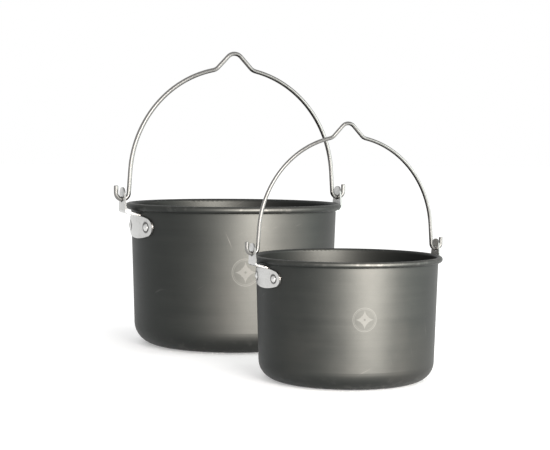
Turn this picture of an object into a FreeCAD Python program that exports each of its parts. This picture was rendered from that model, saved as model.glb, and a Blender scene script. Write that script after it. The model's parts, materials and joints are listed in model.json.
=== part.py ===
"""Hanging camp pot set: two drawn aluminium pots that share one design at two sizes.

Each pot is one sheet of aluminium with a flat base, a slightly tapered wall and a curled rim.
Two stamped steel ears are riveted under the rim, one at each end of the X axis, and a wire bail
with open J hooks hangs in them. The bail's crown has a raised hump for a pot hanger.

Units are millimetres and +Z is up. The origin is the middle of the large pot's base, on the
surface that it stands on. The small pot stands in front of it, along -Y.
"""
import FreeCAD, Part
import math
import os

import Sketcher
from FreeCAD import Placement, Rotation, Vector

doc = FreeCAD.newDocument("CookingPotSet")

# ---------------------------------------------------------------- driving dimensions
# Lengths are those of the large pot. A pot's ratio scales them all but the sheet gauge.
DIMENSIONS = {
    "large_ratio": (1.0, "size of the large pot against the lengths below"),
    "small_ratio": (0.75, "size of the small pot against the lengths below"),
    "large_forward": (0.0, "how far the large pot's axis stands in front of the origin"),
    "small_forward": (224.0, "how far the small pot's axis stands in front of the origin"),
    "sheet_gauge": (1.2, "thickness of the pots' sheet"),
    "rim_radius": (100.0, "outer radius of the curled rim"),
    "pot_height": (130.0, "base to top of rim"),
    "bead_radius": (3.0, "outer radius of the curl's section"),
    "curl_end": (108.0, "degrees below level at which the curl's cut edge stops"),
    "draft": (1.8, "lean of the wall, degrees"),
    "corner_radius": (20.0, "outer radius of the corner between base and wall"),
    "ear_gauge": (1.5, "thickness of an ear's sheet"),
    "ear_gap": (0.02, "gap between an ear and the wall, both clamped by the rivets"),
    "ear_drop": (20.5, "rim top down to the middle of the ear's riveted plate"),
    "wing_reach": (21.0, "ear's middle to the centre of a wing's rounded end"),
    "wing_radius": (8.0, "radius of a wing's rounded end"),
    "wing_slope": (14.0, "degrees that the plate's edge falls where it meets a wing's end"),
    "strip_drop": (12.8, "ear's middle down to the lower end of the strip that it is cut from"),
    "strip_sweep": (48.0, "degrees round the wall that the strip spans"),
    "trim_reach": (60.0, "ear's middle to the outer edges of the cut round its outline"),
    "neck_half": (9.6, "half the ear's width where the tab leaves the plate"),
    "tab_radius": (6.6, "radius of the tab's rounded top"),
    "tab_rise": (15.0, "rim top up to the top of the tab"),
    "shelf_drop": (11.0, "rim top down to the underside of the shelf at the wall"),
    "shelf_climb": (3.6, "rise of the shelf from the wall to the tab"),
    "bend_radius": (1.0, "inner radius of the ear's bends"),
    "hinge_radius": (109.0, "pot axis to the middle of an ear's tab"),
    "hinge_rise": (4.0, "rim top up to the bail's hinge axis"),
    "eye_radius": (2.7, "radius of the hole that a bail hook hangs in"),
    "wire_radius": (2.0, "radius of the bail wire"),
    "rivet_turn": (12.0, "degrees round the wall from an ear's middle to each rivet"),
    "shank_radius": (2.0, "radius of a rivet's shank"),
    "shank_play": (0.05, "gap round a rivet's shank"),
    "head_radius": (3.5, "radius of a rivet's outer head"),
    "head_dome": (1.7, "height of a rivet's outer head"),
    "tail_radius": (3.8, "radius of a rivet's flat inner head"),
    "tail_height": (1.0, "thickness of a rivet's inner head"),
    "tail_edge": (0.5, "bevel round a rivet's inner head"),
    "head_seat": (0.15, "gap left between a rivet's domed head and the curved ear"),
    "tail_seat": (0.225, "gap left between a rivet's inner head and the curved wall"),
    "crown_rise": (133.8, "hinge axis up to the wire's middle at the top of the hump"),
    "hump_radius": (9.0, "radius of the wire's middle over the hump"),
    "hump_slope": (46.0, "fall of the hump's sides, degrees"),
    "shoulder_radius": (10.0, "radius of the wire's middle where a hump side meets the arch"),
    "arch_rise": (18.5, "hinge axis up to the centre of the bail's arch"),
    "arm_lean": (4.0, "outward lean of the bail's arms as they fall to the hooks, degrees"),
    "hook_radius": (6.0, "radius of the wire's middle round a J hook"),
    "hook_tip": (12.5, "hinge axis up to the end of a hook"),
    "tip_round": (0.7, "radius round the wire's cut ends"),
}
sheet = doc.addObject("Spreadsheet::Sheet", "Dims")
for row, (alias, (number, meaning)) in enumerate(DIMENSIONS.items(), start=1):
    sheet.set(f"A{row}", meaning)
    sheet.set(f"B{row}", str(number))
    sheet.setAlias(f"B{row}", alias)
doc.recompute()


class Size:
    """A number worked out from the sheet, with the expression that keeps it bound to the sheet."""

    def __init__(self, value, text):
        self.value = value
        self.text = text

    @staticmethod
    def of(number):
        return number if isinstance(number, Size) else Size(float(number), str(number))

    def __add__(self, other):
        other = Size.of(other)
        return Size(self.value + other.value, f"({self.text} + {other.text})")

    def __sub__(self, other):
        other = Size.of(other)
        return Size(self.value - other.value, f"({self.text} - {other.text})")

    def __mul__(self, other):
        other = Size.of(other)
        return Size(self.value * other.value, f"{self.text} * {other.text}")

    def __truediv__(self, other):
        other = Size.of(other)
        return Size(self.value / other.value, f"{self.text} / ({other.text})")

    def __neg__(self):
        return Size(-self.value, f"(0 - {self.text})")


def cell(alias):
    return Size(sheet.get(alias), f"Dims.{alias}")


def turned(degrees):
    """An angle as expressions need it, with its unit."""
    return Size(math.radians(degrees.value), f"{degrees.text} * 1 deg")


def sine(degrees):
    angle = turned(degrees)
    return Size(math.sin(angle.value), f"sin({angle.text})")


def cosine(degrees):
    angle = turned(degrees)
    return Size(math.cos(angle.value), f"cos({angle.text})")


def root(size):
    return Size(math.sqrt(size.value), f"sqrt({size.text})")


ZERO = Size.of(0)


# ---------------------------------------------------------------- sketching helpers
TOLERANCE = 1e-3
EDGE_PROBES = 5
ORIGIN_POINT = (-1, 1)
H_AXIS = -1
V_AXIS = -2
START, END, MIDDLE = 1, 2, 3


def new_body(label):
    body = doc.addObject("PartDesign::Body", label)
    body.Label = label
    return body


def new_sketch(body, name, plane):
    sketch = body.newObject("Sketcher::SketchObject", name)
    support = next(item for item in body.Origin.OriginFeatures if item.Role == plane)
    sketch.AttachmentSupport = [(support, "")]
    sketch.MapMode = "FlatFace"
    return sketch


class Outline:
    """Draws a chain of lines and arcs in a sketch, and binds its sizes to the sheet."""

    def __init__(self, sketch):
        self.sketch = sketch
        self.steps = []

    def line(self, start, end):
        (x1, y1), (x2, y2) = start, end
        shape = Part.LineSegment(Vector(x1.value, y1.value, 0), Vector(x2.value, y2.value, 0))
        return self.add(shape, START, END)

    def arc(self, start, end, centre, turn):
        """turn is +1 for an arc drawn anticlockwise from start to end, and -1 for clockwise."""
        (cx, cy), (first, last) = centre, (start, end) if turn > 0 else (end, start)
        radius = math.dist((start[0].value, start[1].value), (cx.value, cy.value))
        begin = math.atan2(first[1].value - cy.value, first[0].value - cx.value)
        finish = math.atan2(last[1].value - cy.value, last[0].value - cx.value)
        circle = Part.Circle(Vector(cx.value, cy.value, 0), Vector(0, 0, 1), radius)
        if finish <= begin:
            finish += 2 * math.pi
        shape = Part.ArcOfCircle(circle, begin, finish)
        return self.add(shape, START if turn > 0 else END, END if turn > 0 else START)

    def add(self, shape, first, last):
        index = self.sketch.addGeometry(shape, False)
        self.steps.append((index, first, last))
        return index

    def ends(self, index):
        return next((first, last) for number, first, last in self.steps if number == index)

    def constrain(self, kind, *places):
        return self.sketch.addConstraint(Sketcher.Constraint(kind, *places))

    def bind(self, kind, places, size):
        number = self.constrain(kind, *places, size.value)
        self.sketch.setExpression(f"Constraints[{number}]", size.text)

    def join(self, closed=True, tangent=()):
        """Joins each step's end to the next step's start, tangent after the steps listed."""
        pairs = list(zip(self.steps, self.steps[1:] + self.steps[:1]))
        for (one, _, last), (two, first, _) in pairs if closed else pairs[:-1]:
            self.constrain("Tangent" if one in tangent else "Coincident", one, last, two, first)

    def pin(self, index, place, x, y):
        """Holds a point at x and y, which are None where that direction stays free."""
        for kind, axis, size in (("DistanceX", V_AXIS, x), ("DistanceY", H_AXIS, y)):
            if size is not None and abs(size.value) < TOLERANCE:
                self.constrain("PointOnObject", index, place, axis)
            elif size is not None:
                self.bind(kind, (*ORIGIN_POINT, index, place), size)

    def pin_start(self, index, point):
        self.pin(index, self.ends(index)[0], *point)

    def mirror_start(self, index, twin):
        """Puts a step's start opposite its twin's start across the V axis."""
        first, other = self.ends(index)[0], self.ends(twin)[0]
        self.constrain("Symmetric", index, first, twin, other, V_AXIS)

    def radius(self, index, size):
        self.bind("Radius", (index,), size)


def feature(body, kind, name, sketch):
    item = body.newObject(f"PartDesign::{kind}", name)
    item.Profile = sketch
    sketch.Visibility = False
    return item


def revolve(body, name, sketch, axis, angle=None):
    revolved = feature(body, "Revolution", name, sketch)
    revolved.ReferenceAxis = (sketch, [axis])
    revolved.Midplane = angle is not None
    revolved.Angle = angle.value if angle else 360.0
    if angle:
        revolved.setExpression("Angle", angle.text)
    return revolved


def cut_through(body, name, sketch):
    """Cuts a sketch out of the whole body, both ways, and proves that it took something off."""
    doc.recompute()
    before = body.Shape.Volume
    pocket = feature(body, "Pocket", name, sketch)
    pocket.Type = "ThroughAll"
    pocket.Midplane = True
    doc.recompute()
    if not body.Shape.Volume < before - TOLERANCE:
        raise RuntimeError(f"{body.Label}: {name} cut nothing")
    return pocket


def mirror(body, name, item, plane):
    copy = body.newObject("PartDesign::Mirrored", name)
    copy.Originals = [item]
    support = next(part for part in body.Origin.OriginFeatures if part.Role == plane)
    copy.MirrorPlane = (support, [""])
    body.Tip = copy
    return copy


def fillet(body, name, edges, radius):
    doc.recompute()
    base = body.Tip
    rounded = body.newObject("PartDesign::Fillet", name)
    rounded.Base = (base, edges(base.Shape))
    rounded.Radius = radius.value
    rounded.setExpression("Radius", radius.text)
    body.Tip = rounded
    doc.recompute()
    return rounded


def circle_sketch(body, name, plane, x, y, radius):
    sketch = new_sketch(body, name, plane)
    outline = Outline(sketch)
    circle = Part.Circle(Vector(x.value, y.value, 0), Vector(0, 0, 1), radius.value)
    index = sketch.addGeometry(circle, False)
    outline.pin(index, MIDDLE, x, y)
    outline.radius(index, radius)
    return sketch


class Pot:
    """One pot of the set: its sizes, and the functions that build its six sub-parts."""

    def __init__(self, name):
        self.name = name
        self.ratio = cell(f"{name}_ratio")
        self.forward = cell(f"{name}_forward")
        self.gauge = cell("sheet_gauge")
        self.draft = cell("draft")
        self.height = self.size("pot_height")
        self.bead = self.size("bead_radius")
        self.curl_x = self.size("rim_radius") - self.bead
        self.curl_z = self.height - self.bead
        self.curl_hollow = self.bead - self.gauge
        self.hinge_x = self.size("hinge_radius")
        self.hinge_z = self.height + self.size("hinge_rise")
        self.rivet_z = self.height - self.size("ear_drop")
        self.parts = []

    def size(self, alias):
        return cell(alias) * self.ratio

    def wall_radius(self, level):
        """Outer radius of the tapered wall at a height."""
        lean = sine(self.draft) / cosine(self.draft)
        return self.curl_x - self.curl_hollow / cosine(self.draft) - (self.curl_z - level) * lean

    def place(self, body, half_turn=False):
        turn = Rotation(Vector(0, 0, 1), 180.0 if half_turn else 0.0)
        body.Placement = Placement(Vector(0, -self.forward.value, 0), turn)
        body.setExpression("Placement.Base.y", f"0 - {self.forward.text}")
        self.parts.append(body)

    # ------------------------------------------------------------ pot body
    def build_body(self):
        body = new_body(f"{self.name}_pot_body")
        sketch = new_sketch(body, "WallSection", "XZ_Plane")
        corner, gauge, draft = self.size("corner_radius"), self.gauge, self.draft
        across, down = cosine(draft), sine(draft)
        corner_x = self.wall_radius(ZERO) - (corner - corner * down) / across
        curl_end = -cell("curl_end")
        curl, knuckle = (self.curl_x, self.curl_z), (corner_x, corner)

        def on_wall(radius, centre=knuckle):
            return (centre[0] + radius * across, centre[1] - radius * down)

        def on_curl(radius):
            return (curl[0] - radius * across, curl[1] + radius * down)

        def curl_edge(radius):
            return (curl[0] + radius * cosine(curl_end), curl[1] + radius * sine(curl_end))

        inner = corner - gauge
        points = [(ZERO, ZERO), (corner_x, ZERO), on_wall(corner), on_curl(self.curl_hollow),
                  curl_edge(self.curl_hollow), curl_edge(self.bead), on_curl(self.bead),
                  on_wall(inner), (corner_x, gauge), (ZERO, gauge)]
        arcs = {1: (knuckle, 1, corner), 3: (curl, -1, self.curl_hollow),
                5: (curl, 1, self.bead), 7: (knuckle, -1, inner)}
        outline = Outline(sketch)
        for number, (start, end) in enumerate(zip(points, points[1:] + points[:1])):
            if number in arcs:
                centre, turn, _ = arcs[number]
                outline.arc(start, end, centre, turn)
            else:
                outline.line(start, end)
        outline.join()
        for number, point in enumerate(points):
            outline.pin_start(number, point)
        for number, (_, _, radius) in arcs.items():
            outline.radius(number, radius)
        revolve(body, "DrawnShell", sketch, "V_Axis")
        self.cut_rivet_holes(body)
        self.place(body)

    def cut_rivet_holes(self, body):
        """Drills both ears' rivet holes: one radial cut right through, and its mirror image."""
        hole = self.size("shank_radius") + cell("shank_play")
        sketch = circle_sketch(body, "RivetHole", "YZ_Plane", ZERO, self.rivet_z, hole)
        self.turn_sketch(sketch)
        pocket = cut_through(body, "RivetHoleCut", sketch)
        mirror(body, "RivetHoleMirror", pocket, "XZ_Plane")

    def turn_sketch(self, sketch, lift=None):
        """Turns a sketch about the pot's axis to a rivet's direction, and lifts it if asked."""
        turn = cell("rivet_turn")
        rise = lift.value if lift else 0.0
        sketch.AttachmentOffset = Placement(Vector(0, rise, 0), Rotation(Vector(0, 1, 0), turn.value))
        sketch.setExpression("AttachmentOffset.Rotation.Angle", turned(turn).text)
        if lift:
            sketch.setExpression("AttachmentOffset.Base.y", lift.text)

    # ------------------------------------------------------------ ears
    def build_ear(self, side, half_turn):
        """A stamped ear: curved plate on the wall, shelf under the rim, and upright tab."""
        body = new_body(f"{self.name}_ear_{side}")
        gauge, half = self.size("ear_gauge"), self.size("ear_gauge") / 2
        strip_end = self.rivet_z - self.size("strip_drop")
        shelf = self.height - self.size("shelf_drop")
        climb = self.size("shelf_climb")
        top = self.height + self.size("tab_rise") + gauge
        gap = cell("ear_gap")
        faces = {"tab_out": self.hinge_x + half, "tab_in": self.hinge_x - half}
        section = [(self.wall_radius(strip_end) + gap + gauge, strip_end),
                   (self.wall_radius(shelf) + gap + gauge, shelf),
                   (faces["tab_out"], shelf + climb),
                   (faces["tab_out"], top),
                   (faces["tab_in"], top),
                   (faces["tab_in"], shelf + climb + gauge),
                   (self.wall_radius(shelf + gauge) + gap, shelf + gauge),
                   (self.wall_radius(strip_end) + gap, strip_end)]
        sketch = new_sketch(body, "EarSection", "XZ_Plane")
        outline = Outline(sketch)
        for start, end in zip(section, section[1:] + section[:1]):
            outline.line(start, end)
        outline.join()
        for number, point in enumerate(section):
            outline.pin_start(number, point)
        revolve(body, "BentStrip", sketch, "V_Axis", cell("strip_sweep"))

        def bends(corners):
            return lambda shape: [name for name, edge in named_edges(shape)
                                  if any(edge_follows(edge, section[corner]) for corner in corners)]

        tight, wide = self.size("bend_radius"), self.size("bend_radius") + gauge
        fillet(body, "InnerBends", bends((1, 5)), tight)
        fillet(body, "OuterBends", bends((2, 6)), wide)
        self.trim_ear(body)
        eye = circle_sketch(body, "HookEye", "YZ_Plane", ZERO, self.hinge_z, self.size("eye_radius"))
        cut_through(body, "HookEyeCut", eye)
        self.cut_rivet_holes(body)
        self.place(body, half_turn)

    def trim_ear(self, body):
        """Cuts away the strip outside the ear's outline: two rounded wings and a rounded tab."""
        reach, end, slope = self.size("wing_reach"), self.size("wing_radius"), cell("wing_slope")
        level = self.rivet_z
        sine_slope, cosine_slope = sine(slope), cosine(slope)
        edge_radius = reach / sine_slope + end
        edge_centre = reach * cosine_slope / sine_slope
        neck = self.size("neck_half")
        neck_z = level - edge_centre + root(edge_radius * edge_radius - neck * neck)
        tab = self.size("tab_radius")
        tab_z = self.height + self.size("tab_rise") - tab
        upper = (reach + end * sine_slope, level + end * cosine_slope)
        lower = (reach + end * sine_slope, level - end * cosine_slope)
        neck_point, tab_point = (neck, neck_z), (tab, tab_z)

        def left(point):
            return (-point[0], point[1])

        outline = Outline(new_sketch(body, "EarOutline", "YZ_Plane"))
        high, low = (ZERO, level + edge_centre), (ZERO, level - edge_centre)
        tab_side = outline.line(neck_point, tab_point)
        tab_top = outline.arc(tab_point, left(tab_point), (ZERO, tab_z), 1)
        other_side = outline.line(left(tab_point), left(neck_point))
        left_edge = outline.arc(left(neck_point), left(upper), low, 1)
        left_end = outline.arc(left(upper), left(lower), (-reach, level), 1)
        bottom = outline.arc(left(lower), lower, high, 1)
        right_end = outline.arc(lower, upper, (reach, level), 1)
        right_edge = outline.arc(upper, neck_point, low, 1)
        outline.join(tangent=(tab_side, tab_top))
        outline.pin_start(tab_side, neck_point)
        outline.pin_start(right_edge, upper)
        outline.pin_start(right_end, lower)
        outline.mirror_start(left_edge, tab_side)
        outline.mirror_start(left_end, right_edge)
        outline.mirror_start(bottom, right_end)
        outline.pin(tab_top, MIDDLE, ZERO, tab_z)
        outline.radius(tab_top, tab)
        for index in (left_end, right_end):
            outline.radius(index, end)
        for index in (left_edge, bottom, right_edge):
            outline.radius(index, edge_radius)
        # A rectangle round the outline: the cut takes what lies between the two.
        far = self.size("trim_reach")
        floor, roof = level - far, level + far
        corners = [(far, floor), (far, roof), (-far, roof), (-far, floor)]
        frame = [outline.line(start, end) for start, end in zip(corners, corners[1:] + corners[:1])]
        for one, two in zip(frame, frame[1:] + frame[:1]):
            outline.constrain("Coincident", one, END, two, START)
        for index, kind in zip(frame, ("Vertical", "Horizontal") * 2):
            outline.constrain(kind, index)
        outline.pin(frame[0], START, far, floor)
        outline.pin(frame[2], START, -far, roof)
        cut_through(body, "EarTrim", outline.sketch)

    # ------------------------------------------------------------ rivets
    def build_rivets(self, side, half_turn):
        """An ear's pair of rivets: domed head outside, flat head inside, radial to the wall."""
        body = new_body(f"{self.name}_rivets_{side}")
        wall = self.wall_radius(self.rivet_z)
        outside = wall + cell("ear_gap") + self.size("ear_gauge") + cell("head_seat")
        inside = wall - self.gauge / cosine(self.draft) - cell("tail_seat")
        shank, head = self.size("shank_radius"), self.size("head_radius")
        tail, dome = self.size("tail_radius"), self.size("head_dome")
        edge, back = self.size("tail_edge"), inside - self.size("tail_height")
        dome_radius = (head * head + dome * dome) / (dome * 2)
        crest = outside + dome
        points = [(back, ZERO), (crest, ZERO), (outside, head), (outside, shank),
                  (inside, shank), (inside, tail), (back + edge, tail), (back, tail - edge)]
        sketch = new_sketch(body, "RivetSection", "XZ_Plane")
        outline = Outline(sketch)
        for number, (start, end) in enumerate(zip(points, points[1:] + points[:1])):
            if number == 1:
                outline.arc(start, end, (crest - dome_radius, ZERO), 1)
            else:
                outline.line(start, end)
        outline.join()
        for number, point in enumerate(points):
            outline.pin_start(number, point)
        outline.radius(1, dome_radius)
        self.turn_sketch(sketch, self.rivet_z)
        rivet = revolve(body, "Rivet", sketch, "H_Axis")
        mirror(body, "RivetPair", rivet, "XZ_Plane")
        self.place(body, half_turn)

    # ------------------------------------------------------------ bail
    def build_bail(self):
        """The wire bail: half of it swept from the hump's top to a hook's end, then mirrored."""
        body = new_body(f"{self.name}_bail")
        path = self.draw_bail_path(body)
        apex = self.hinge_z + self.size("crown_rise")
        wire = circle_sketch(body, "WireSection", "YZ_Plane", ZERO, apex, self.size("wire_radius"))
        pipe = body.newObject("PartDesign::AdditivePipe", "HalfBail")
        pipe.Profile = wire
        pipe.Spine = (path, [f"Edge{number}" for number in range(1, path.GeometryCount + 1)])
        mirror(body, "BailMirror", pipe, "YZ_Plane")
        tip = self.hinge_z + self.size("hook_tip")

        def cut_ends(shape):
            return [name for name, edge in named_edges(shape)
                    if all(abs(point.z - tip.value) < TOLERANCE
                           for point in edge.discretize(EDGE_PROBES))]

        fillet(body, "TipRound", cut_ends, self.size("tip_round"))
        self.place(body)

    def draw_bail_path(self, body):
        slope, lean = cell("hump_slope"), cell("arm_lean")
        hump, shoulder = self.size("hump_radius"), self.size("shoulder_radius")
        hook, arch_z = self.size("hook_radius"), self.hinge_z + self.size("arch_rise")
        apex = self.hinge_z + self.size("crown_rise")
        hump_centre = (ZERO, apex - hump)
        hook_centre = (self.hinge_x, self.hinge_z + hook)
        arch = self.hinge_x * cosine(lean) - hook + (hook - self.size("arch_rise")) * sine(lean)
        fall_x, fall_z = cosine(slope), -sine(slope)
        leave_hump = (hump * sine(slope), hump_centre[1] + hump * cosine(slope))
        # The shoulder's centre lies off the hump's side by its radius, and clear of the arch by it.
        from_arch_x = leave_hump[0] + shoulder * sine(slope)
        from_arch_z = leave_hump[1] + shoulder * cosine(slope) - arch_z
        along = from_arch_x * fall_x + from_arch_z * fall_z
        reach = arch + shoulder
        square = reach * reach - from_arch_x * from_arch_x - from_arch_z * from_arch_z + along * along
        run = -along - root(square)
        shoulder_centre = (from_arch_x + run * fall_x, arch_z + from_arch_z + run * fall_z)
        reach_shoulder = (leave_hump[0] + run * fall_x, leave_hump[1] + run * fall_z)
        share = arch / reach
        join_arch = (shoulder_centre[0] * share, arch_z + (shoulder_centre[1] - arch_z) * share)
        leave_arch = (arch * cosine(lean), arch_z + arch * sine(lean))
        reach_hook = (hook_centre[0] - hook * cosine(lean), hook_centre[1] - hook * sine(lean))
        leave_hook = (self.hinge_x + hook, hook_centre[1])
        tip = (leave_hook[0], self.hinge_z + self.size("hook_tip"))

        outline = Outline(new_sketch(body, "BailPath", "XZ_Plane"))
        over_hump = outline.arc((ZERO, apex), leave_hump, hump_centre, -1)
        hump_side = outline.line(leave_hump, reach_shoulder)
        round_shoulder = outline.arc(reach_shoulder, join_arch, shoulder_centre, 1)
        over_arch = outline.arc(join_arch, leave_arch, (ZERO, arch_z), -1)
        outline.line(leave_arch, reach_hook)
        round_hook = outline.arc(reach_hook, leave_hook, hook_centre, 1)
        hook_end = outline.line(leave_hook, tip)
        outline.join(closed=False, tangent=tuple(range(hook_end)))
        outline.pin_start(over_hump, (ZERO, apex))
        outline.pin(over_hump, MIDDLE, ZERO, None)
        outline.radius(over_hump, hump)
        outline.bind("Angle", (hump_side,), turned(-slope))
        outline.radius(round_shoulder, shoulder)
        outline.pin(over_arch, MIDDLE, ZERO, arch_z)
        outline.radius(over_arch, arch)
        outline.pin(round_hook, MIDDLE, *hook_centre)
        outline.radius(round_hook, hook)
        outline.constrain("Vertical", hook_end)
        outline.pin(hook_end, END, None, tip[1])
        return outline.sketch

    def build(self):
        self.build_body()
        for side, half_turn in (("right", False), ("left", True)):
            self.build_ear(side, half_turn)
            self.build_rivets(side, half_turn)
        self.build_bail()


def named_edges(shape):
    return [(f"Edge{number}", edge) for number, edge in enumerate(shape.Edges, start=1)]


def edge_follows(edge, point):
    """True where an edge runs round the pot's axis at the radius and height of a section point."""
    radius, level = point[0].value, point[1].value
    return all(abs(math.hypot(spot.x, spot.y) - radius) < TOLERANCE
               and abs(spot.z - level) < TOLERANCE for spot in edge.discretize(EDGE_PROBES))


pots = [Pot("large"), Pot("small")]
for pot in pots:
    pot.build()

# ---------------------------------------------------------------- check and write
doc.recompute()
for item in doc.Objects:
    if {"Invalid", "Error"} & set(item.State):
        raise RuntimeError(f"{item.Label} did not compute: {item.State}")
os.makedirs("parts", exist_ok=True)
for pot in pots:
    for part in pot.parts:
        if part.Shape.isNull() or not part.Shape.isValid():
            raise RuntimeError(f"{part.Label} has no valid shape")
        part.Shape.exportStep(f"parts/{part.Label}.step")
        print(part.Label, len(part.Shape.Solids), "solid(s),", round(part.Shape.Volume), "mm3")
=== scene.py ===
"""Materials, light and camera for the hanging camp pot set.

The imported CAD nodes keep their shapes. Every length below is in metres, in the CAD's frame.
"""
import json
import math

import bpy
from mathutils import Matrix, Vector

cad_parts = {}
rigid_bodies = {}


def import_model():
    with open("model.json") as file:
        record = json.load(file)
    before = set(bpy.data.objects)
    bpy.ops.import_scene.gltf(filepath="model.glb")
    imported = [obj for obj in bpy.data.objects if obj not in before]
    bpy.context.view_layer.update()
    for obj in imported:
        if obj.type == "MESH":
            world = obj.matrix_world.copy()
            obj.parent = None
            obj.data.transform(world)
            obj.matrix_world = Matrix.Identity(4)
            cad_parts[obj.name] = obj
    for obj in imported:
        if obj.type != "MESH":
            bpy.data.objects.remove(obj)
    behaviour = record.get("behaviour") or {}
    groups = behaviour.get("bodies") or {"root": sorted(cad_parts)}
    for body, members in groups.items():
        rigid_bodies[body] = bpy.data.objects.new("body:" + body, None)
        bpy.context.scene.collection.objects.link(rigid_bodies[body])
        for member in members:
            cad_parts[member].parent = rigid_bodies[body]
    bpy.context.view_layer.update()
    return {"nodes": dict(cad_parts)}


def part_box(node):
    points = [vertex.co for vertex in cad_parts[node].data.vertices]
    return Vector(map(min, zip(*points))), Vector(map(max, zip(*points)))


for leftover in list(bpy.data.objects):
    bpy.data.objects.remove(leftover)
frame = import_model()

# The materials' places and patterns are laid out for a rim of radius RIM, and scaled to each pot. Only the
# heights of the bumps aren't scaled. MARK_ANGLE is in degrees round the pot from +X.
RIM = 0.1
WALL_AT_MARK = 0.94 * RIM
MARK_ANGLE = -107.0
MARK_LEVEL = 0.073
SHELF_BOTTOM = 0.1188
SHELF_TOP = 0.1245

# The camera stands round the origin from -Y, by VIEW_TURN degrees. The lamps aim at MIDDLE.
VIEW_TURN = 23.5
CAMERA_DISTANCE = 1.3
CAMERA_HEIGHT = 0.182
MIDDLE = (0.0, -0.1, 0.08)


# ---------------------------------------------------------------- shader graph helpers
class Field:
    """A number that varies over a surface: one output of a graph. Arithmetic adds Math nodes."""

    def __init__(self, graph, socket):
        self.graph = graph
        self.socket = socket

    def __add__(self, other):
        return self.graph.math("ADD", self, other)

    def __sub__(self, other):
        return self.graph.math("SUBTRACT", self, other)

    def __mul__(self, other):
        return self.graph.math("MULTIPLY", self, other)

    def __truediv__(self, other):
        return self.graph.math("DIVIDE", self, other)

    def __pow__(self, other):
        return self.graph.math("POWER", self, other)

    def root(self):
        return self.graph.math("SQRT", self)

    def size(self):
        return self.graph.math("ABSOLUTE", self)

    def most(self, other):
        return self.graph.math("MAXIMUM", self, other)

    def least(self, other):
        return self.graph.math("MINIMUM", self, other)

    def rise(self, low, high):
        """0 up to low, 1 from high on, and smooth between them. low may be the larger one."""
        return self.graph.rise(self, low, high)

    def within(self, edge, blur):
        """1 where the field is under edge, and 0 where it is over it."""
        return self.rise(edge + blur, edge - blur)

    def spread(self, low, high):
        """Maps 0..1 to low..high."""
        return self * (high - low) + low


class Graph:
    """A material with one Principled shader, and short calls for the nodes that feed it."""

    def __init__(self, name, **settings):
        self.material = bpy.data.materials.new(name)
        self.material.use_nodes = True
        self.nodes = self.material.node_tree.nodes
        self.links = self.material.node_tree.links
        self.shader = self.nodes["Principled BSDF"]
        for socket, value in settings.items():
            self.shader.inputs[socket.replace("_", " ")].default_value = value

    def put(self, socket, value):
        if isinstance(value, Field):
            self.links.new(value.socket, socket)
        else:
            socket.default_value = value

    def node(self, kind, inputs=(), **settings):
        node = self.nodes.new(kind)
        for name, value in settings.items():
            setattr(node, name, value)
        for name, value in dict(inputs).items():
            self.put(node.inputs[name], value)
        return node

    def math(self, operation, first, second=None):
        node = self.node("ShaderNodeMath", operation=operation)
        self.put(node.inputs[0], first)
        if second is not None:
            self.put(node.inputs[1], second)
        return Field(self, node.outputs[0])

    def rise(self, field, low, high):
        flip = low > high
        low, high = min(low, high), max(low, high)
        ends = {"From Min": low, "From Max": high, "To Min": float(flip), "To Max": float(not flip)}
        node = self.node("ShaderNodeMapRange", {"Value": field, **ends}, interpolation_type="SMOOTHSTEP")
        return Field(self, node.outputs["Result"])

    def coordinates(self, output):
        """The x, y and z of one output of a Texture Coordinate node."""
        point = self.node("ShaderNodeTexCoord")
        split = self.node("ShaderNodeSeparateXYZ")
        self.links.new(point.outputs[output], split.inputs[0])
        return [Field(self, part) for part in split.outputs]

    def place(self):
        """The surface point's x, y and z in the CAD's frame at rest, whatever the pose."""
        return self.coordinates("Object")

    def place_on(self, pot):
        """The same from the middle of a pot's base, scaled as if its rim had the radius RIM."""
        x, y, z = self.place()
        return x / pot.ratio, (y - pot.axis_y) / pot.ratio, z / pot.ratio

    def facing(self):
        """The surface normal's x, y and z in the CAD's frame at rest."""
        return self.coordinates("Normal")

    def vector(self, x, y, z):
        node = self.node("ShaderNodeCombineXYZ", {"X": x, "Y": y, "Z": z})
        return Field(self, node.outputs[0])

    def noise(self, x, y, z, scale=1.0, detail=2.0, rough=0.5, warp=0.0):
        inputs = {"Scale": scale, "Detail": detail, "Roughness": rough, "Distortion": warp}
        node = self.node("ShaderNodeTexNoise", {"Vector": self.vector(x, y, z), **inputs})
        return Field(self, node.outputs[0])

    def cells(self, x, y, z, scale):
        """The distance to the nearest of many scattered points, in the scaled lengths."""
        node = self.node("ShaderNodeTexVoronoi", {"Vector": self.vector(x, y, z), "Scale": scale})
        return Field(self, node.outputs["Distance"])

    def blend(self, factor, first, second):
        """A colour between two, each given as numbers or as another blend."""
        node = self.node("ShaderNodeMix", {"Factor": factor}, data_type="RGBA")
        for socket, colour in ((node.inputs[6], first), (node.inputs[7], second)):
            self.put(socket, colour if isinstance(colour, Field) else (*colour, 1.0))
        return Field(self, node.outputs[2])

    def relief(self, *layers):
        """Bumps the shader's normal by (height field, height in metres) layers."""
        below = None
        for height, metres in layers:
            bump = self.node("ShaderNodeBump", {"Height": height, "Distance": metres, "Strength": 1.0})
            if below:
                self.links.new(below.outputs[0], bump.inputs["Normal"])
            below = bump
        self.links.new(below.outputs[0], self.shader.inputs["Normal"])

    def finish(self, colour, roughness):
        self.put(self.shader.inputs["Base Color"], colour)
        self.put(self.shader.inputs["Roughness"], roughness)
        return self.material


# ---------------------------------------------------------------- the two pots' places
class Pot:
    """Where a pot stands and how large it is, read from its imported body. Its seed shifts its noises."""

    def __init__(self, name, seed):
        low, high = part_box(f"{name}_pot_body")
        self.name = name
        self.seed = seed
        self.axis_y = (low.y + high.y) / 2
        self.ratio = (high.x - low.x) / 2 / RIM


pots = [Pot("large", 0.0), Pot("small", 7.3)]


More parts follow.
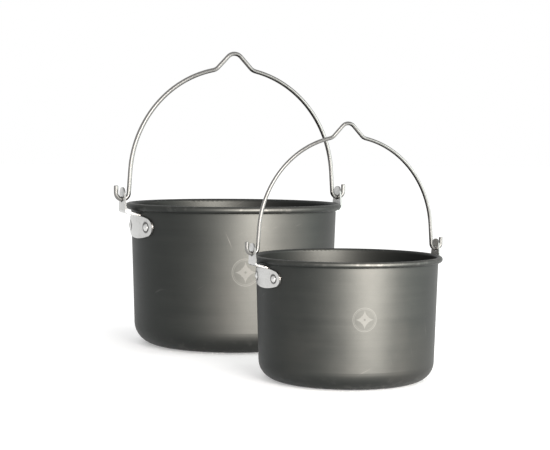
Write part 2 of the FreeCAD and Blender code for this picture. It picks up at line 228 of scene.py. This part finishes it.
# ---------------------------------------------------------------- materials
def etched_mark(graph, across, up):
    """A compass star in a ring: 1 where the mark is etched. across and up are metres from it."""
    ring, step, blur = 0.0118, 0.0013, 0.00008
    out = (across * across + up * up).root()
    outer_ring = (out - ring).size().within(0.00032, blur)
    inner_ring = (out - (ring - step)).size().within(0.00016, blur)

    def star(one, two, reach):
        """Four points along two directions. The power, under 1, makes the sides between them hollow."""
        power = 0.62
        return (one.size() ** power + two.size() ** power).within(reach ** power, 0.0006)

    eighth = math.sqrt(0.5)
    long_star = star(across, up, 0.0098)
    short_star = star((across + up) * eighth, (across - up) * eighth, 0.0058)
    outside_hub = out.rise(0.0009, 0.0011)
    return outer_ring.most(inner_ring).most(long_star.most(short_star) * outside_hub)


def hairlines(graph, x, y, z, shift):
    """Sparse straight scratches in two directions."""

    def streaks(lean_x, lean_z, start, seed):
        """A noise stretched along one direction, kept at its peaks and only in patches."""
        along = x * lean_x + y * (1.0 - lean_x) + z * lean_z
        across = x * -lean_z + z * lean_x + y * 0.4
        streak = graph.noise(along * 14.0 + seed, across * 900.0, y * 14.0, detail=1.0)
        patch = graph.noise(x + seed, y, z, scale=22.0, detail=1.0).rise(0.5, 0.62)
        return streak.rise(start, start + 0.05) * patch

    return streaks(0.9, 0.35, 0.72, 3.1 + shift).most(streaks(0.25, -0.8, 0.74, 8.4 + shift))


def anodised(pot):
    """Hard-anodised spun aluminium: dark satin grey, turned rings, light wear, the etched mark and painted
    shade inside.
    """
    g = Graph(f"{pot.name}_anodised", Metallic=1.0)
    x, y, z = g.place_on(pot)
    nx, ny, nz = g.facing()
    radius = (x * x + y * y).root()
    turn_x, turn_y = x / radius.most(0.004), y / radius.most(0.004)
    away = nx * turn_x + ny * turn_y
    outward, painted_shade_inside = away.rise(0.2, 0.6), away.rise(0.0, -0.4)
    profile = radius + z
    shift = pot.seed

    fine = g.noise(turn_x * 1.5, turn_y * 1.5, profile * 1500.0 + shift, detail=3.0)
    broad = g.noise(turn_x * 0.7 + shift, turn_y * 0.7, profile * 130.0, detail=3.0)
    mottle = g.noise(x + shift, y, z, scale=26.0, detail=5.0, rough=0.55)
    grain = g.noise(x, y + shift, z, scale=900.0, detail=2.0)
    smudge = g.noise(x, y, z + shift, scale=9.0, detail=3.0, warp=0.6).rise(0.45, 0.7)

    scratches = hairlines(g, x, y, z, shift)
    bead = z.rise(0.1232, 0.1262) * radius.rise(0.0945, 0.0965)
    nicks = g.noise(x, y, z + shift, scale=170.0, detail=3.0).rise(0.56, 0.66)
    foot = z.rise(0.0016, 0.0002) * radius.rise(0.055, 0.07) * nz.rise(0.0, -0.5)
    scuff = g.noise(x, y, z, scale=240.0, detail=4.0).rise(0.42, 0.6)
    corner = z.rise(0.016, 0.006) * radius.rise(0.07, 0.08) * away.rise(0.0, 0.2)
    rubs = g.noise(x + shift, y, z, scale=120.0, detail=4.0).rise(0.55, 0.68)
    wear = (bead * nicks * 0.05).most(foot * scuff * 0.5).most(corner * rubs * 0.05).most(scratches * 0.14)
    scoured = nz.rise(0.3, 0.9) * z.within(0.012, 0.004) * radius.rise(0.082, 0.06)

    angle = math.radians(MARK_ANGLE)
    along_wall = (turn_y * math.cos(angle) - turn_x * math.sin(angle)) * WALL_AT_MARK
    front = (turn_x * math.cos(angle) + turn_y * math.sin(angle)).rise(0.2, 0.4)
    mark = etched_mark(g, along_wall, z - MARK_LEVEL) * outward * front
    mark = mark * g.noise(x, y, z, scale=1400.0, detail=1.0).spread(0.75, 1.15).least(1.0)

    tone = (broad - 0.5) * 0.5 + (mottle - 0.5) * 0.7 + (fine - 0.5) * 0.35
    base = g.blend((tone + 0.5).least(1.0).most(0.0), (0.0215, 0.0238, 0.0232), (0.0335, 0.0366, 0.0352))
    base = g.blend(smudge * 0.2, base, (0.05, 0.05, 0.047))
    # Painted shade: the faces inside the pot are darkened, as if less light reached them.
    base = g.blend(painted_shade_inside * 0.6, base, (0.012, 0.0134, 0.013))
    base = g.blend(scoured * mottle.spread(0.5, 0.9), base, (0.1, 0.104, 0.101))
    base = g.blend(wear, base, (0.3, 0.3, 0.29))
    base = g.blend(mark * 0.85, base, (0.056, 0.0605, 0.059))
    rough = broad.spread(0.48, 0.55) + (grain - 0.5) * 0.08 + smudge * 0.04 + mark * 0.12 - wear * 0.06
    g.relief((fine, 0.000006), (broad, 0.00002), (mottle, 0.00012), (scratches, -0.00001))
    return g.finish(base, rough)


def bright_wire(pot):
    """Drawn stainless wire, with faint drawing lines, rubs and small dark pits."""
    g = Graph(f"{pot.name}_bright_wire", Metallic=1.0)
    x, y, z = g.place_on(pot)
    lines = g.noise(x * 28.0 + pot.seed, y * 4200.0, z * 28.0, detail=3.0)
    cloud = g.noise(x, y + pot.seed, z, scale=60.0, detail=4.0)
    rubs = g.noise(x + pot.seed, y, z, scale=300.0, detail=4.0, rough=0.65).rise(0.56, 0.7)
    pits = g.cells(x, y, z + pot.seed, 900.0).within(0.09, 0.03)
    tint = g.blend(cloud, (0.155, 0.151, 0.144), (0.24, 0.235, 0.226))
    tint = g.blend(rubs * 0.35, tint, (0.13, 0.127, 0.12))
    tint = g.blend(pits * 0.5, tint, (0.1, 0.097, 0.092))
    rough = cloud.spread(0.2, 0.27) + rubs * 0.07 + (lines - 0.5) * 0.04
    g.relief((lines, 0.000004), (rubs, -0.000004), (cloud, 0.000012))
    return g.finish(tint, rough)


def painted_shade_round_rivets(pot, y, z):
    """Painted shade round each rivet: 1 right round its head, fading out over the plate. y and z are from
    place_on.
    """
    low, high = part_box(f"{pot.name}_rivets_left")
    head = (high.z - low.z) / 2 / pot.ratio
    level = (high.z + low.z) / 2 / pot.ratio
    aside = (high.y - low.y) / 2 / pot.ratio - head
    beside, above = y.size() - aside, z - level
    out = (beside * beside + above * above).root()
    return out.rise(head * 1.55, head * 1.1)


def painted_edge_shade(graph, x, y, z):
    """Painted shade: 1 on the sheet's sheared edges, whose normals lie along the plate. The flat shelf is
    left out.
    """
    radius = (x * x + y * y).root()
    nx, ny, _ = graph.facing()
    square_on = ((nx * x + ny * y) / radius).size()
    plate_or_tab = z.within(SHELF_BOTTOM, 0.0005).most(z.rise(SHELF_TOP, SHELF_TOP + 0.001))
    return square_on.rise(0.9, 0.6) * plate_or_tab


def stamped_steel(pot):
    """Satin stainless sheet: brushed along the plate, with painted shade at its sheared edges and round the
    rivets.
    """
    g = Graph(f"{pot.name}_stamped_steel", Metallic=1.0)
    x, y, z = g.place_on(pot)
    brushed = g.noise(x * 60.0, y * 45.0 + pot.seed, z * 3600.0, detail=3.0)
    coarse = g.noise(x * 30.0 + pot.seed, y * 20.0, z * 900.0, detail=2.0)
    cloud = g.noise(x, y + pot.seed, z, scale=90.0, detail=4.0)
    dings = g.noise(x + pot.seed, y, z, scale=260.0, detail=3.0).rise(0.58, 0.68)
    tint = g.blend(cloud, (0.44, 0.44, 0.43), (0.58, 0.58, 0.57))
    tint = g.blend(dings * 0.4, tint, (0.36, 0.357, 0.348))
    rivet_shade_mask = painted_shade_round_rivets(pot, y, z)
    edge_shade_mask = painted_edge_shade(g, x, y, z)
    # Painted shade: the sheared edges are darkened into a dark outline.
    tint = g.blend(edge_shade_mask * 0.8, tint, (0.13, 0.129, 0.125))
    # Painted shade: the plate is darkened round each rivet's head.
    tint = g.blend(rivet_shade_mask * 0.9, tint, (0.035, 0.035, 0.034))
    rough = brushed.spread(0.24, 0.36) + (cloud - 0.5) * 0.12 + dings * 0.08 + rivet_shade_mask * 0.2
    g.relief((brushed, 0.000012), (coarse, 0.00001), (cloud, 0.00008))
    return g.finish(tint, rough)


def rivet_metal(pot):
    """Aluminium rivets: pale and fine-grained, softly dented by the setting tool."""
    g = Graph(f"{pot.name}_rivet_metal", Metallic=1.0)
    x, y, z = g.place_on(pot)
    cloud = g.noise(x, y, z + pot.seed, scale=420.0, detail=3.0)
    grain = g.noise(x + pot.seed, y, z, scale=2600.0, detail=2.0)
    tint = g.blend(cloud, (0.5, 0.5, 0.49), (0.66, 0.66, 0.65))
    rough = cloud.spread(0.22, 0.36) + (grain - 0.5) * 0.1
    g.relief((cloud, 0.00009), (grain, 0.00001))
    return g.finish(tint, rough)


FINISHES = {anodised: ["pot_body"], bright_wire: ["bail"], stamped_steel: ["ear_left", "ear_right"],
            rivet_metal: ["rivets_left", "rivets_right"]}


def finish_pieces(pot):
    for make, parts in FINISHES.items():
        material = make(pot)
        for part in parts:
            for material_slot in frame["nodes"][f"{pot.name}_{part}"].material_slots:
                material_slot.material = material


# ---------------------------------------------------------------- floor, light and camera
def make_floor():
    """A pale round floor. It gives off a little light, so that it meets the white surroundings."""
    reach, sides = 12.0, 96
    turns = [math.tau * number / sides for number in range(sides)]
    rim = [(reach * math.cos(turn), reach * math.sin(turn), 0.0) for turn in turns]
    mesh = bpy.data.meshes.new("floor")
    mesh.from_pydata(rim, [], [range(sides)])
    plane = bpy.data.objects.new("floor", mesh)
    bpy.context.scene.collection.objects.link(plane)
    g = Graph("floor_paper", Emission_Color=(1.0, 1.0, 1.0, 1.0), Emission_Strength=0.26)
    x, y, z = g.place()
    tone = g.noise(x, y, z, scale=3.0, detail=2.0)
    tint = g.blend(tone, (0.78, 0.78, 0.78), (0.82, 0.82, 0.82))
    mesh.materials.append(g.finish(tint, tone.spread(0.8, 0.9)))
    return plane


def make_surroundings():
    """White all round. The Standard view transform keeps it white."""
    world = bpy.data.worlds.new("studio")
    world.use_nodes = True
    background = world.node_tree.nodes["Background"]
    background.inputs["Color"].default_value = (1.0, 1.0, 1.0, 1.0)
    background.inputs["Strength"].default_value = 1.0
    bpy.context.scene.world = world
    bpy.context.scene.view_settings.view_transform = "Standard"


def group(name, members):
    collection = bpy.data.collections.new(name)
    for member in members:
        collection.objects.link(member)
    return collection


def softbox(name, spot, width, height, radiance, tint, lights_only=(), shaded_by=()):
    """A rectangular lamp aimed at MIDDLE. It can light some objects only, and be shaded by some only."""
    light = bpy.data.lights.new(name, "AREA")
    light.shape = "RECTANGLE"
    light.size, light.size_y, light.color = width, height, tint
    light.energy = math.pi * width * height * radiance
    lamp = bpy.data.objects.new(name, light)
    lamp.location = spot
    lamp.rotation_euler = (Vector(MIDDLE) - Vector(spot)).to_track_quat("-Z", "Y").to_euler()
    bpy.context.scene.collection.objects.link(lamp)
    if lights_only:
        lamp.light_linking.receiver_collection = group(f"lit_by_{name}", lights_only)
    if shaded_by:
        lamp.light_linking.blocker_collection = group(f"shading_{name}", shaded_by)


def around(degrees_from_camera, distance, height):
    """A spot round MIDDLE, at an angle to the camera's right. The height is over the floor."""
    angle = math.radians(VIEW_TURN - degrees_from_camera)
    return (MIDDLE[0] - distance * math.sin(angle), MIDDLE[1] - distance * math.cos(angle), height)


def make_lamps(floor):
    """A strong key lamp for each shell, and weaker lamps. They match the photo and aren't one real light.

    In the photo the large pot is evenly lit behind the small one, so a shell's key is shaded only by its
    own pot's pieces. It lights only the shell, because it would bleach the wires, ears and floor.
    """
    nodes = frame["nodes"]
    for pot in pots:
        pieces = [node for name, node in nodes.items() if name.startswith(pot.name)]
        softbox(f"{pot.name}_shell_key", around(24.0, 1.6, 0.5), 0.85, 1.0, 118.0, (1.0, 0.87, 0.8),
                lights_only=[nodes[f"{pot.name}_pot_body"]], shaded_by=pieces)
    fittings = [node for name, node in nodes.items() if not name.endswith("pot_body")]
    softbox("key", around(22.0, 1.6, 0.5), 0.7, 1.0, 11.0, (1.0, 0.97, 0.94), lights_only=[*fittings, floor])
    softbox("front", around(-12.0, 1.9, 0.4), 0.8, 0.8, 5.0, (1.0, 0.97, 0.93))
    softbox("fill", around(78.0, 1.6, 0.42), 1.4, 0.8, 6.0, (0.94, 1.0, 0.96))


def make_camera():
    camera = bpy.data.objects.new("camera", bpy.data.cameras.new("camera"))
    camera.data.sensor_width = 36.0
    camera.data.lens = 91.4
    camera.data.clip_start, camera.data.clip_end = 0.01, 100.0
    turn = math.radians(VIEW_TURN)
    aside, back = CAMERA_DISTANCE * math.sin(turn), CAMERA_DISTANCE * math.cos(turn)
    heading, pitch, roll = math.radians(-25.2), math.radians(86.8), math.radians(0.42)
    camera.matrix_world = (Matrix.Translation((-aside, -back, CAMERA_HEIGHT))
                           @ Matrix.Rotation(heading, 4, "Z") @ Matrix.Rotation(pitch, 4, "X")
                           @ Matrix.Rotation(roll, 4, "Z"))
    bpy.context.scene.collection.objects.link(camera)
    bpy.context.scene.camera = camera


for each_pot in pots:
    finish_pieces(each_pot)
stand = make_floor()
make_surroundings()
make_lamps(stand)
make_camera()
